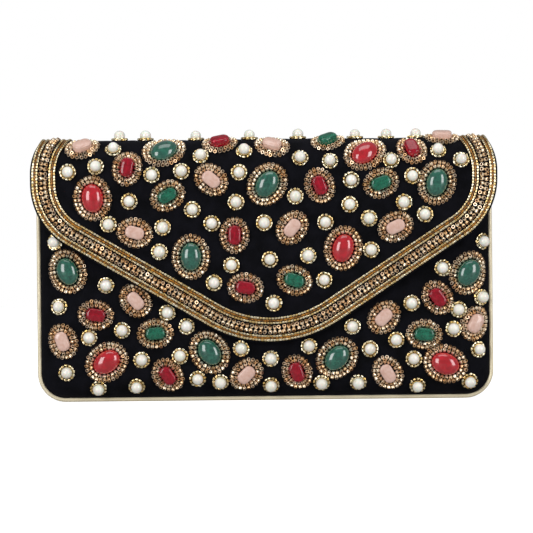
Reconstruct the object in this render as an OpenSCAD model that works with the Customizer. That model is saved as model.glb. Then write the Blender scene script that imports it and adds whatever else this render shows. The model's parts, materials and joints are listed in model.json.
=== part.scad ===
// Evening clutch purse: a boxed velvet body, a pointed flap that folds over the top, piped
// seams, a beaded border and stones, glass beads and pearls sewn on in rings of seed beads.
// X is the width, the front faces -Y, and the base rests on Z = 0.

/* [Body] */
// Width of the body over its piping
body_w = 262; // [250:1:280]
// Width of the gusset between the two rows of piping
gusset_w = 34; // [32:1:38]
// Radius of the lower corners of the panels, at their seam
corner_r = 14; // [13:0.5:15]
// How far the front panel swells out from its seam
front_swell = 7; // [6:0.5:9]
// How far the back panel swells out from its seam
back_swell = 4.5; // [4:0.5:6]
// Height of the front edge of the mouth
mouth_z = 124; // [117:1:126]
// Diameter of the piping along the seams
piping_d = 2.2; // [1.8:0.1:2.6]

/* [Flap] */
// Width of the flap at its widest
flap_w = 267.5; // [266:0.5:280]
// Height of the top of the fold
fold_top = 150.5; // [148:0.5:154]
// Outer radius of the two rounded bends of the fold at the top
fold_r = 19.8; // [19.6:0.1:20.4]
// Height of the flap's point above the base
tip_z = 34; // [30:1:42]
// How far the point is to the right of the middle
tip_x = 3; // [-5:1:5]
// Radius of the rounded point
tip_r = 50; // [40:1:55]
// Radius of the two shoulders, where the slanted edges turn up the sides
shoulder_r = 41; // [35:1:45]

/* [Fabric and board] */
// Thickness of the velvet
velvet_t = 1; // [0.8:0.1:1.2]
// Thickness of the stiff board inside the body's panels and gusset
board_t = 1.8; // [1.4:0.1:2]
// Thickness of the thinner board inside the flap
flap_board_t = 1.1; // [0.9:0.1:1.3]
// Thickness of the lining
lining_t = 0.5; // [0.3:0.1:0.6]

/* [Stones and pearls] */
// Width of a large cabochon
cabochon_w = 12; // [11:0.5:13]
// Length of a large cabochon
cabochon_l = 16.5; // [15:0.5:17]
// Width of a drilled glass bead
bead_w = 7.5; // [7:0.5:8]
// Length of a drilled glass bead
bead_l = 11.5; // [11:0.5:12]
// Diameter of a pearl
pearl_d = 6.2; // [6:0.1:6.6]

/* [Hidden] */
$fn = 48;
far = 400;

// Body: the seam is the line where a panel meets the gusset, just inside the piping
seam_x = body_w / 2 - piping_d;
seam_z = piping_d + 0.1;
bend_x = seam_x - corner_r;
bend_z = seam_z + corner_r;
front_y = -gusset_w / 2 - front_swell;
back_y = gusset_w / 2 + back_swell;
hinge_gap = 0.4;
back_top = fold_top - fold_r - hinge_gap;
gusset_top = mouth_z - 4;
gusset_skin = 1;
gusset_half = gusset_w / 2 - piping_d / 2 - 0.1;
panel_t = velvet_t + board_t + lining_t;

// Flap: one stiff J from the hinge line, over the fold and down the front
flap_gap = 2;
flap_t = velvet_t + flap_board_t + lining_t;
flap_y = front_y - flap_gap - flap_t;
flap_in = flap_y + flap_t;
fold_z = fold_top - fold_r;
fold_front_y = flap_y + fold_r;
fold_back_y = back_y - fold_r;
fold_arc = fold_r * PI / 2;
shoulder_drop = 2.5;
crown_r = 42;
crown_turn = 36;
arc_steps = 12;

// Border rows, as [start, end] from the edge of the flap
edge_row = [0.8, 2.5];
outer_thread = [2.6, 3];
outer_row = [3.1, 4.8];
ladder_row = [5.1, 10.1];
inner_row = [10.5, 12.2];
inner_thread = [12.4, 12.9];
field_row = [13.2, 14.9];
row_t = 1.5;
thread_t = 0.7;
ladder_t = 2;
row_end = 5;

// Stones: heights, seed bead rings and bores
cabochon_h = 5;
bead_h = 5.6;
bead_bore = 1.2;
ring_t = 1.6;
ring_gap = 0.4;
ring_w = 3.2;
pearl_seat = 0.15;
pearl_ring_r = 3.9;
pearl_ring_d = 1.4;

// Magnetic snap behind the point of the flap
snap_z = 54;
snap_flange_d = 17;
snap_flange_t = 0.8;
snap_hub_d = 9;
snap_bore_d = 7.4;
snap_bore_l = 2.7;
snap_washer_d = 19;
snap_washer_t = 0.8;
stud_flange_d = 14;
stud_flange_t = 0.6;
stud_d = 4.6;
stud_l = 2.2;
stud_plate_d = 15;
stud_plate_t = 0.6;

// Slip pocket on the back lining
pocket_w = 120;
pocket_h = 70;
pocket_z = 35;
pocket_t = 0.9;
pocket_sheet_t = 0.5;
pocket_seam = 2;

// Places on the flap, as [x, distance down from the top of the fold, turn of the long side]
flap_red_cabochon_at = [[58, 20, 40], [-98, 45, 95], [45, 75, 75]];
flap_green_cabochon_at = [[-57, 17, 30], [2, 38, 55], [99, 38, 75], [-42, 79, 90]];
flap_red_bead_at = [[-25, 11, 20], [85, 18, 110], [-78, 28, 80], [32, 39, 110], [-17, 67, 90],
    [-11, 97, 170]];
flap_green_bead_at = [[37, 10, 35], [-55, 44, 30], [67, 38, 20], [17, 93, 160]];
flap_pink_bead_at = [[-104, 14, 30], [5, 14, 155], [103, 6, 170], [-30, 35, 140], [16, 63, 50],
    [75, 63, 25], [-74, 65, 165]];
// Pearls on the flap, row by row from the top of the fold
flap_pearl_at = [
    [-83, 1], [-68, 1], [-39, 1], [-8, 1], [20, 1], [53, 1], [71, 1], [88, 1],
    [-86, 16], [-11, 18], [100, 19], [-36, 21], [21, 23], [38, 25], [73, 25], [113, 25],
    [-112, 30], [-96, 27], [-64, 32], [-47, 30], [-14, 31], [50, 36], [85, 34],
    [-77, 47], [-41, 52], [-16, 48], [18, 45], [49, 50], [80, 49], [92, 56],
    [-89, 60], [-58, 62], [-30, 60], [0, 60], [35, 60], [60, 58],
    [-60, 76], [-19, 84], [3, 81], [25, 79], [61, 76],
    [-29, 94], [34, 93], [5, 106]];

// Places on the front panel, as [x, height above a line row_base over the base, turn]
row_base = 2;
body_red_cabochon_at = [[-91, 21, 35], [103, 18, 160]];
body_green_cabochon_at = [[-113, 73, 110], [117, 70, 60], [-32, 26, 125], [41, 22, 45]];
body_red_bead_at = [[-97, 48, 170], [99, 56, 125], [-56, 13, 125], [18, 14, 110]];
body_green_bead_at = [[-63, 37, 5], [91, 35, 175]];
body_pink_bead_at = [[-74, 56, 130], [68, 45, 45], [120, 41, 60], [-116, 33, 110], [-11, 13, 45],
    [70, 13, 120]];
// Pearls on the front panel, row by row from the top
body_pearl_at = [
    [-120, 90], [125, 88], [-91, 65], [102, 73], [-118, 53], [124, 56], [84, 53], [111, 49],
    [-101, 35], [-82, 39], [-56, 49], [-45, 41], [50, 40], [75, 32], [108, 38],
    [-71, 22], [-49, 24], [-14, 28], [3, 22], [25, 29], [60, 27], [85, 21], [122, 26],
    [-114, 15], [-96, 6], [-74, 7], [-39, 11], [-26, 9], [3, 7], [32, 8], [53, 8], [87, 6], [117, 8]];

velvet_black = "#101014";
lining_black = "#1c1a1e";
board_grey = "#8a8478";
piping_gold = "#e2d5a8";
bead_gold = "#d8b872";
thread_amber = "#c77a1e";
seed_topaz = "#c08a60";
stone_red = "#d8102c";
stone_green = "#22664f";
glass_pink = "#ebbcab";
pearl_ivory = "#faf6e8";
snap_metal = "#c9a45a";

// ---- Shared geometry -------------------------------------------------------------------

function arc(c, r, from, to) =
    [for (i = [0:arc_steps]) let (a = from + (to - from) * i / arc_steps) c + r * [cos(a), sin(a)]];

// Radius of the rounded edge of a panel that swells out by `swell`
function edge_r(swell) = (corner_r * corner_r + swell * swell) / (2 * swell);

// Direction in which the outer tangent of the point's circle and a shoulder's circle touches
function slant(dx, dz) = atan2(dz, dx) - acos((tip_r - shoulder_r) / norm([dx, dz]));

// An upright flat shape, given as [x, z], with its thickness along Y
module upright(from_y, to_y) {
    translate([0, to_y, 0]) rotate([90, 0, 0]) linear_extrude(to_y - from_y) children();
}

// The rounded edge of a panel layer: distance out from the bend along X, swell along Y
module edge_profile(swell, outer, inner) {
    intersection() {
        translate([0, swell - edge_r(swell)]) difference() {
            circle(edge_r(swell) - outer);
            circle(edge_r(swell) - inner);
        }
        square([corner_r, swell]);
    }
}

module edge_band(length, swell, outer, inner) {
    rotate([90, 0, 0]) linear_extrude(length) edge_profile(swell, outer, inner);
}

// One layer of a swelling panel, lying flat: X is the width, Y the height, Z outwards
module panel_layer(swell, outer, inner, top) {
    translate([-bend_x, bend_z, swell - inner]) cube([2 * bend_x, top - bend_z, inner - outer]);
    translate([bend_x, bend_z, 0]) rotate(-90) edge_band(2 * bend_x, swell, outer, inner);
    for (side = [0, 1]) mirror([side, 0, 0]) {
        translate([bend_x, top, 0]) edge_band(top - bend_z, swell, outer, inner);
        translate([bend_x, bend_z, 0]) rotate(-90)
            rotate_extrude(angle = 90) edge_profile(swell, outer, inner);
    }
}

module front_layer(outer, inner) {
    translate([0, -gusset_w / 2, 0]) rotate([90, 0, 0]) panel_layer(front_swell, outer, inner, mouth_z);
}

module back_layer(outer, inner) {
    translate([0, gusset_w / 2, 0]) mirror([0, 1, 0]) rotate([90, 0, 0])
        panel_layer(back_swell, outer, inner, back_top);
}

// The body's front outline, `grow` outside the seam, up to a height
module body_outline(grow, top) {
    for (side = [-1, 1]) translate([side * bend_x, bend_z]) circle(corner_r + grow);
    translate([-bend_x, seam_z - grow]) square([2 * bend_x, top - seam_z + grow]);
    translate([-seam_x - grow, bend_z]) square([2 * (seam_x + grow), top - bend_z]);
}

// A strip of the gusset between two distances outside the seam
module gusset_strip(outer, inner, half) {
    upright(-half, half) difference() {
        body_outline(outer, gusset_top);
        body_outline(inner, far);
    }
}

// Piping around the sides and the base, up to a height
module piping(y, top) {
    out_x = seam_x + piping_d / 2;
    low_z = seam_z - piping_d / 2;
    turn_r = corner_r + piping_d / 2;
    color(piping_gold) translate([0, y, 0]) {
        translate([-bend_x, 0, low_z]) rotate([0, 90, 0]) cylinder(d = piping_d, h = 2 * bend_x);
        for (side = [0, 1]) mirror([side, 0, 0]) {
            translate([out_x, 0, bend_z]) cylinder(d = piping_d, h = top - bend_z);
            translate([bend_x, 0, bend_z]) rotate([90, 0, 0]) rotate(-90)
                rotate_extrude(angle = 90) translate([turn_r, 0]) circle(d = piping_d);
        }
    }
}

// The flap's outline seen from the front, `inset` inside its edge
module flap_outline(inset) {
    half = flap_w / 2;
    left_z = fold_z - shoulder_drop;
    right_z = fold_z;
    tip_c = [tip_x, tip_z + tip_r];
    shoulder_x = half - shoulder_r;
    left_slant = 180 - slant(shoulder_x + tip_x, left_z - tip_c.y);
    right_slant = slant(shoulder_x - tip_x, right_z - tip_c.y);
    crown_x = half - crown_r;
    crown_end = crown_x + (crown_r - inset) * cos(crown_turn);
    polygon(concat(
        arc(tip_c, tip_r - inset, left_slant - 360, right_slant),
        arc([shoulder_x, right_z], shoulder_r - inset, right_slant, 0),
        arc([crown_x, fold_z], crown_r - inset, 0, crown_turn),
        [[crown_end, far], [-crown_end, far]],
        arc([-crown_x, fold_z], crown_r - inset, 180 - crown_turn, 180),
        arc([-shoulder_x, left_z], shoulder_r - inset, 180, left_slant)));
}

// Side section of the whole fold at a radius: two quarter bends with a flat top between them
module fold_section(r) {
    intersection() {
        union() {
            for (y = [fold_front_y, fold_back_y]) translate([y, fold_z]) circle(r);
            translate([fold_front_y, fold_z]) square([fold_back_y - fold_front_y, r]);
        }
        translate([-far / 2, fold_z]) square([far, far]);
    }
}

// Side section of a flap layer: from the hinge line over the fold and down the front
module flap_section(outer, inner) {
    difference() {
        fold_section(fold_r - outer);
        fold_section(fold_r - inner);
    }
    translate([flap_y + outer, 0]) square([inner - outer, fold_z]);
}

// A layer of the flap between two depths under the velvet's face, cut to a front outline
module flap_layer(outer, inner) {
    intersection() {
        rotate([90, 0, 90]) linear_extrude(far, center = true) flap_section(outer, inner);
        upright(-far / 2, far / 2) children();
    }
}

// A border row on the velvet's face, as [start, end] from the flap's edge. It stops short of
// the hinge line, so that it clears the back panel when the flap is open
module border_row(row, thick) {
    difference() {
        flap_layer(-thick, 0) difference() {
            flap_outline(row[0]);
            flap_outline(row[1]);
        }
        translate([-far / 2, fold_back_y, 0]) cube([far, far, fold_z + row_end]);
    }
}

// Moves a piece to its place on the flap, with its underside on the velvet
module on_flap(at) {
    swing = at[1] < fold_arc ? at[1] / fold_arc * 90 : 90;
    drop = max(0, at[1] - fold_arc);
    translate([at[0], fold_front_y - fold_r * sin(swing), fold_z + fold_r * cos(swing) - drop])
        rotate([swing, 0, 0]) children();
}

// Moves a piece to its place on the front panel, with its underside on the velvet
module on_body(at) {
    height = at[1] + row_base;
    out = max(0, abs(at[0]) - bend_x) * sign(at[0]);
    down = max(0, bend_z - height);
    reach = norm([out, down]);
    rise = sqrt(pow(edge_r(front_swell), 2) - reach * reach) - edge_r(front_swell) + front_swell;
    translate([at[0], -gusset_w / 2 - rise, height]) rotate([90, 0, 0])
        rotate(a = asin(reach / edge_r(front_swell)), v = [down, out, reach > 0 ? 0 : 1]) children();
}

// A rounded bar, `long` over its ends, standing `high` above the velvet
module stone(wide, long, high) {
    intersection() {
        translate([0, 0, high - wide / 2]) {
            rotate([0, 90, 0]) cylinder(d = wide, h = long - wide, center = true);
            for (end = [-1, 1]) translate([end * (long - wide) / 2, 0, 0]) sphere(d = wide);
        }
        translate([-long, -long, 0]) cube(2 * long);
    }
}

module cabochon() {
    stone(cabochon_w, cabochon_l, cabochon_h);
}

module drilled_bead() {
    difference() {
        stone(bead_w, bead_l, bead_h);
        translate([0, 0, bead_h - bead_w / 2]) rotate([0, 90, 0])
            cylinder(d = bead_bore, h = 2 * bead_l, center = true);
    }
}

module oval(wide, long) {
    square([long - wide, wide], center = true);
    for (end = [-1, 1]) translate([end * (long - wide) / 2, 0]) circle(d = wide);
}

// The double row of seed beads around a stone
module seed_ring(wide, long) {
    inner = 2 * ring_gap;
    outer = inner + 2 * ring_w;
    linear_extrude(ring_t) difference() {
        oval(wide + outer, long + outer);
        oval(wide + inner, long + inner);
    }
}

module pearl_ring() {
    translate([0, 0, pearl_ring_d / 2]) rotate_extrude() translate([pearl_ring_r, 0])
        circle(d = pearl_ring_d);
}

module pearl() {
    translate([0, 0, pearl_d / 2 + pearl_seat]) sphere(d = pearl_d);
}

module each_on_flap(places) {
    for (at = places) on_flap(at) rotate(len(at) > 2 ? at[2] : 0) children();
}

module each_on_body(places) {
    for (at = places) on_body(at) rotate(len(at) > 2 ? at[2] : 0) children();
}

// A round hole or plug along Y behind the flap's point, between two depths
module snap_cylinder(diameter, from_y, to_y) {
    translate([tip_x, to_y, snap_z]) rotate([90, 0, 0]) cylinder(d = diameter, h = to_y - from_y);
}

// ---- Body --------------------------------------------------------------------------------

module front_velvet() {
    color(velvet_black) difference() {
        front_layer(0, velvet_t);
        snap_cylinder(snap_hub_d, front_y - 1, front_y + panel_t + 1);
    }
}

module front_board() {
    color(board_grey) difference() {
        front_layer(velvet_t, velvet_t + board_t);
        snap_cylinder(snap_hub_d, front_y - 1, front_y + panel_t + 1);
    }
}

module front_lining() {
    color(lining_black) difference() {
        front_layer(velvet_t + board_t, panel_t);
        snap_cylinder(snap_hub_d, front_y - 1, front_y + panel_t + 1);
    }
}

module back_velvet() {
    color(velvet_black) back_layer(0, velvet_t);
}

module back_board() {
    color(board_grey) back_layer(velvet_t, velvet_t + board_t);
}

module back_lining() {
    color(lining_black) back_layer(velvet_t + board_t, panel_t);
}

module side_gusset() {
    color(velvet_black) intersection() {
        gusset_strip(seam_z, seam_z - gusset_skin, gusset_half);
        translate([bend_x, -far / 2, -far / 2]) cube(far);
    }
}

module left_gusset() {
    mirror([1, 0, 0]) side_gusset();
}

module right_gusset() {
    side_gusset();
}

module base_gusset() {
    color(velvet_black) translate([-bend_x, -gusset_half, 0])
        cube([2 * bend_x, 2 * gusset_half, gusset_skin]);
}

module gusset_wadding() {
    color("white") gusset_strip(seam_z - gusset_skin, 0, gusset_half);
}

module gusset_board() {
    color(board_grey) gusset_strip(0, -board_t, gusset_w / 2);
}

module gusset_lining() {
    color(lining_black) gusset_strip(-board_t, -board_t - lining_t, gusset_w / 2);
}

module front_piping() {
    piping(-gusset_w / 2, mouth_z);
}

module back_piping() {
    piping(gusset_w / 2, back_top);
}

module slip_pocket() {
    back_in = back_y - panel_t;
    color(lining_black) difference() {
        translate([-pocket_w / 2, back_in - pocket_t, pocket_z]) cube([pocket_w, pocket_t, pocket_h]);
        translate([-pocket_w / 2 + pocket_seam, back_in - pocket_t + pocket_sheet_t, pocket_z + pocket_seam])
            cube([pocket_w - 2 * pocket_seam, pocket_t, pocket_h]);
    }
}

module snap_socket() {
    color(snap_metal) difference() {
        union() {
            snap_cylinder(snap_flange_d, front_y - snap_flange_t, front_y);
            snap_cylinder(snap_hub_d, front_y - snap_flange_t, front_y + panel_t + snap_washer_t);
        }
        snap_cylinder(snap_bore_d, front_y - snap_flange_t - 1, front_y - snap_flange_t + snap_bore_l);
    }
}

module snap_socket_washer() {
    color(snap_metal) difference() {
        snap_cylinder(snap_washer_d, front_y + panel_t, front_y + panel_t + snap_washer_t);
        snap_cylinder(snap_hub_d, front_y, front_y + panel_t + snap_washer_t + 1);
    }
}

module body_red_cabochons() {
    color(stone_red) each_on_body(body_red_cabochon_at) cabochon();
}

module body_green_cabochons() {
    color(stone_green) each_on_body(body_green_cabochon_at) cabochon();
}

module body_red_beads() {
    color(stone_red) each_on_body(body_red_bead_at) drilled_bead();
}

module body_green_beads() {
    color(stone_green) each_on_body(body_green_bead_at) drilled_bead();
}

module body_pink_beads() {
    color(glass_pink) each_on_body(body_pink_bead_at) drilled_bead();
}

module body_cabochon_rings() {
    places = concat(body_red_cabochon_at, body_green_cabochon_at);
    color(seed_topaz) each_on_body(places) seed_ring(cabochon_w, cabochon_l);
}

module body_bead_rings() {
    places = concat(body_red_bead_at, body_green_bead_at, body_pink_bead_at);
    color(seed_topaz) each_on_body(places) seed_ring(bead_w, bead_l);
}

module body_pearls() {
    color(pearl_ivory) each_on_body(body_pearl_at) pearl();
}

module body_pearl_rings() {
    color(bead_gold) each_on_body(body_pearl_at) pearl_ring();
}

// ---- Flap --------------------------------------------------------------------------------

module flap_velvet() {
    color(velvet_black) flap_layer(0, velvet_t) flap_outline(0);
}

module flap_board() {
    color(board_grey) difference() {
        flap_layer(velvet_t, velvet_t + flap_board_t) flap_outline(edge_row[0]);
        snap_cylinder(stud_plate_d, flap_in - lining_t - stud_plate_t, flap_in);
    }
}

module flap_lining() {
    color(lining_black) difference() {
        flap_layer(velvet_t + flap_board_t, flap_t) flap_outline(edge_row[0]);
        snap_cylinder(stud_d, flap_in - lining_t - 1, flap_in + 1);
    }
}

module snap_stud() {
    color(snap_metal) {
        snap_cylinder(stud_d, flap_in - lining_t - stud_plate_t, flap_in + stud_flange_t + stud_l);
        snap_cylinder(stud_flange_d, flap_in, flap_in + stud_flange_t);
    }
}

module snap_stud_plate() {
    plate_y = flap_in - lining_t;
    color(snap_metal) difference() {
        snap_cylinder(stud_plate_d, plate_y - stud_plate_t, plate_y);
        snap_cylinder(stud_d, plate_y - stud_plate_t - 1, plate_y + 1);
    }
}

module border_edge_row() {
    color(bead_gold) border_row(edge_row, row_t);
}

module border_outer_thread() {
    color(thread_amber) border_row(outer_thread, thread_t);
}

module border_outer_row() {
    color(bead_gold) border_row(outer_row, row_t);
}

module border_ladder() {
    color(seed_topaz) border_row(ladder_row, ladder_t);
}

module border_inner_row() {
    color(bead_gold) border_row(inner_row, row_t);
}

module border_inner_thread() {
    color(thread_amber) border_row(inner_thread, thread_t);
}

module border_field_row() {
    color(bead_gold) border_row(field_row, row_t);
}

module flap_red_cabochons() {
    color(stone_red) each_on_flap(flap_red_cabochon_at) cabochon();
}

module flap_green_cabochons() {
    color(stone_green) each_on_flap(flap_green_cabochon_at) cabochon();
}

module flap_red_beads() {
    color(stone_red) each_on_flap(flap_red_bead_at) drilled_bead();
}

module flap_green_beads() {
    color(stone_green) each_on_flap(flap_green_bead_at) drilled_bead();
}

module flap_pink_beads() {
    color(glass_pink) each_on_flap(flap_pink_bead_at) drilled_bead();
}

module flap_cabochon_rings() {
    places = concat(flap_red_cabochon_at, flap_green_cabochon_at);
    color(seed_topaz) each_on_flap(places) seed_ring(cabochon_w, cabochon_l);
}

module flap_bead_rings() {
    places = concat(flap_red_bead_at, flap_green_bead_at, flap_pink_bead_at);
    color(seed_topaz) each_on_flap(places) seed_ring(bead_w, bead_l);
}

module flap_pearls() {
    color(pearl_ivory) each_on_flap(flap_pearl_at) pearl();
}

module flap_pearl_rings() {
    color(bead_gold) each_on_flap(flap_pearl_at) pearl_ring();
}

front_velvet();
front_board();
front_lining();
back_velvet();
back_board();
back_lining();
left_gusset();
right_gusset();
base_gusset();
gusset_wadding();
gusset_board();
gusset_lining();
front_piping();
back_piping();
slip_pocket();
snap_socket();
snap_socket_washer();
body_red_cabochons();
body_green_cabochons();
body_red_beads();
body_green_beads();
body_pink_beads();
body_cabochon_rings();
body_bead_rings();
body_pearls();
body_pearl_rings();
flap_velvet();
flap_board();
flap_lining();
snap_stud();
snap_stud_plate();
border_edge_row();
border_outer_thread();
border_outer_row();
border_ladder();
border_inner_row();
border_inner_thread();
border_field_row();
flap_red_cabochons();
flap_green_cabochons();
flap_red_beads();
flap_green_beads();
flap_pink_beads();
flap_cabochon_rings();
flap_bead_rings();
flap_pearls();
flap_pearl_rings();
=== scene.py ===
# %% [markdown]
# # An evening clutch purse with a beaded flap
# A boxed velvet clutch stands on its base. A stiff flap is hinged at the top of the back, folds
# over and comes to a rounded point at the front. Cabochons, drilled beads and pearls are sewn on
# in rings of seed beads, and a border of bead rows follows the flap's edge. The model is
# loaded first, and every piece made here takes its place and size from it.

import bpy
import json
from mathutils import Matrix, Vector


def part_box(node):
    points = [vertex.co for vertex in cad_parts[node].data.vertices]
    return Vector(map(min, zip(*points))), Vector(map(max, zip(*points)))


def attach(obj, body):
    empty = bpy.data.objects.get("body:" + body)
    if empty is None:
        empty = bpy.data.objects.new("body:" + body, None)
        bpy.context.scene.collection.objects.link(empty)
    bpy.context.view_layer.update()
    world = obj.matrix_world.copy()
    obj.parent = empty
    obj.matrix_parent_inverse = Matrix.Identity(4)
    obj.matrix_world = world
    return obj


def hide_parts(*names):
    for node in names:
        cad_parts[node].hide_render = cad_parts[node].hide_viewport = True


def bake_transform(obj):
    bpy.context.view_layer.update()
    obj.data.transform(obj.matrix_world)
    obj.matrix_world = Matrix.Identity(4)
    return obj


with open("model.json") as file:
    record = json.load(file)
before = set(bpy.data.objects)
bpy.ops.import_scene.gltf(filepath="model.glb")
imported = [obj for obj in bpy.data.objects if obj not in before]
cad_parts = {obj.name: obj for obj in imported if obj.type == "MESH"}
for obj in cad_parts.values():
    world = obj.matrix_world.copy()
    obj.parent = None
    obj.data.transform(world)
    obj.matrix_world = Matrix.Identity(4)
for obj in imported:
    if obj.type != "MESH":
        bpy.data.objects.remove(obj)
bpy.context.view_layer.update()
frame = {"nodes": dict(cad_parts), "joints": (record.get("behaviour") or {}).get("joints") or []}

# %% [markdown]
# ## Sizes
# Lengths that the model holds are read from its boxes. The flap's curves can't be read
# from a box, so they are written here. The real flap is fuller than the checked model's, so its
# outline is drawn up to 5 mm lower at the slants and 1 mm lower at the point.

# %% Measures of the purse
import json
import math
import random

import bpy
import numpy as np
from mathutils import Matrix, Vector, noise
from mathutils.bvhtree import BVHTree

MM = 0.001
hinge = Vector(frame["joints"][0]["pos_m"])
front_low, front_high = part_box("front_velvet")
back_low, back_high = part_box("back_velvet")
flap_low, flap_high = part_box("flap_velvet")
base_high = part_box("base_gusset")[1]
seam_x, seam_z, mouth_z = front_high.x, front_low.z, front_high.z
front_face, front_seam = front_low.y, front_high.y
back_face, back_seam = back_high.y, back_low.y
bend_x = base_high.x
corner_r = seam_x - bend_x
bend_z = seam_z + corner_r
gusset_half = base_high.y
gusset_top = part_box("right_gusset")[1].z
fold_z = hinge.z + 0.2 * MM
fold_r = flap_high.z - fold_z
fold_front_y, fold_back_y = flap_low.y + fold_r, back_face - fold_r
top_run = fold_back_y - fold_front_y
bend_run = fold_r * math.pi / 2
FULLER, POINT_DROP = 4.2 * MM, 1 * MM  # how far the shoulders and the point are lowered
flap_half, tip_z = flap_high.x, flap_low.z - POINT_DROP
TIP_X, TIP_R, SHOULDER_R = 3 * MM, 72 * MM, 41 * MM
SHOULDER_DROP = 1.4 * MM  # the left shoulder hangs lower than the right
CROWN_R, CROWN_TURN = 42 * MM, math.radians(36)
PANEL_T, FLAP_T, SATIN_T = 3.3 * MM, 2.6 * MM, 0.4 * MM
print("fold radius", round(fold_r / MM, 2), "mm; flat top", round(top_run / MM, 2), "mm")

# %% [markdown]
# ## Camera
# A long lens looks straight at the front, from about 1.7 m. The long lens keeps both sides of the
# box nearly out of view, as in a catalogue picture. The view is rolled by half a degree.

# %% The camera
LENS_MM, SENSOR_MM, VIEW_WIDTH = 200, 36, 304.6 * MM
AIM_X, AIM_Z, ROLL = 1.1 * MM, 76.8 * MM, math.radians(-0.6)
camera_data = bpy.data.cameras.new("camera")
camera_data.lens, camera_data.sensor_width = LENS_MM, SENSOR_MM
camera_data.clip_start, camera_data.clip_end = 0.05, 20
camera = bpy.data.objects.new("camera", camera_data)
bpy.context.scene.collection.objects.link(camera)
distance = VIEW_WIDTH * LENS_MM / SENSOR_MM
camera.matrix_world = (
    Matrix.Translation((AIM_X, flap_low.y - distance, AIM_Z))
    @ Matrix.Rotation(math.pi / 2, 4, "X") @ Matrix.Rotation(ROLL, 4, "Z"))
bpy.context.scene.camera = camera
print("camera", round(distance, 3), "m in front of the flap")

# %% [markdown]
# ## Colours and shader nodes
# Colours are written as the hex values a picture editor shows, and one function turns them into
# the linear values that a shader needs. A second function adds a node, sets it and links it.

# %% Colour and node helpers
def linear(hex_colour):
    """A hex colour as linear red, green, blue and alpha."""
    parts = [int(hex_colour[i:i + 2], 16) / 255 for i in (1, 3, 5)]
    return [c / 12.92 if c <= 0.04045 else ((c + 0.055) / 1.055) ** 2.4 for c in parts] + [1]


def add(tree, kind, settings=None, links=None):
    """Adds a shader node, sets its sockets or properties, and links its inputs."""
    made = tree.nodes.new(kind)
    for key, value in (settings or {}).items():
        if key in made.inputs:
            made.inputs[key].default_value = value
        else:
            setattr(made, key, value)
    for key, source in (links or {}).items():
        tree.links.new(source, made.inputs[key])
    return made


def finish_of(name, colour, **sockets):
    """A material with one Principled shader; returns it with its tree, shader and coordinates."""
    material = bpy.data.materials.new(name)
    material.use_nodes = True
    tree = material.node_tree
    shader = tree.nodes["Principled BSDF"]
    shader.inputs["Base Color"].default_value = linear(colour)
    for key, value in sockets.items():
        shader.inputs[key.replace("_", " ").title().replace("Ior", "IOR")].default_value = value
    place = add(tree, "ShaderNodeTexCoord").outputs["Object"]
    return material, tree, shader, place


def grain(tree, shader, place, size, depth, detail=3.0):
    """A fine noise bump whose grains are `size` metres across."""
    pattern = add(tree, "ShaderNodeTexNoise", {"Scale": 1 / size, "Detail": detail},
                  {"Vector": place})
    bump = add(tree, "ShaderNodeBump", {"Strength": 0.6, "Distance": depth},
               {"Height": pattern.outputs[0]})
    tree.links.new(bump.outputs[0], shader.inputs["Normal"])
    return pattern.outputs[0]


def woven(tree, shader, place, size, waver, strength, depth):
    """A diagonal weave bump; its bands are about a third of `size` metres apart."""
    weave = add(tree, "ShaderNodeTexWave", {"Scale": 1 / size, "Distortion": waver,
                "bands_direction": "DIAGONAL"}, {"Vector": place})
    bump = add(tree, "ShaderNodeBump", {"Strength": strength, "Distance": depth},
               {"Height": weave.outputs[1]})
    tree.links.new(bump.outputs[0], shader.inputs["Normal"])
    return weave.outputs[1]


def mottle(tree, shader, source, dark, light, low=0.35, high=0.65):
    """Colours the base between two hex colours by a source from 0 to 1."""
    ramp = add(tree, "ShaderNodeValToRGB", links={"Fac": source})
    ramp.color_ramp.elements[0].position, ramp.color_ramp.elements[1].position = low, high
    ramp.color_ramp.elements[0].color = linear(dark)
    ramp.color_ramp.elements[1].color = linear(light)
    tree.links.new(ramp.outputs[0], shader.inputs["Base Color"])
    return ramp.outputs[0]


def cloudy(tree, shader, place, size, dark, light, low=0.35, high=0.65, detail=2.0, waver=0.0):
    """Colours the base by a noise whose clouds are about `size` metres across."""
    clouds = add(tree, "ShaderNodeTexNoise", {"Scale": 1 / size, "Detail": detail,
                 "Distortion": waver}, {"Vector": place})
    mottle(tree, shader, clouds.outputs[0], dark, light, low, high)


print("helpers ready; white is", linear("#FFFFFF"))

# %% [markdown]
# ## Cloths
# Silk velvet has an upright pile. It swallows light seen end on and catches it at a grazing angle,
# which a sheen does. Its pile is about 0.3 mm, so its grain is drawn at 0.5 mm to show at all.
# The lining is a black satin, woven and smooth, so it is glossier and has no pile.

# %% Velvet, satin, card and wadding
velvet, tree, shader, place = finish_of(
    "silk_velvet", "#0B0B10", roughness=0.92, specular_ior_level=0.1, sheen_weight=0.05,
    sheen_roughness=0.4, sheen_tint=linear("#8A8CA6"))
cloudy(tree, shader, place, 9 * MM, "#040407", "#0C0C12", detail=4.0)
grain(tree, shader, place, 0.5 * MM, 0.25 * MM)

satin, tree, shader, place = finish_of("satin_lining", "#1A181D", roughness=0.38,
                                       sheen_weight=0.15)
weave = woven(tree, shader, place, 2.4 * MM, 1.5, 0.35, 0.05 * MM)
mottle(tree, shader, weave, "#141217", "#232027", 0.2, 0.8)

card, tree, shader, place = finish_of("black_card", "#131316", roughness=0.85)
mottle(tree, shader, grain(tree, shader, place, 0.8 * MM, 0.1 * MM), "#0E0E11", "#19191D")

wadding, tree, shader, place = finish_of("black_polyester_wadding", "#1B1B1F", roughness=0.95)
mottle(tree, shader, grain(tree, shader, place, 1.5 * MM, 0.5 * MM), "#131316", "#222227")
print("cloths", [m.name for m in (velvet, satin, card, wadding)])
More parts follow.
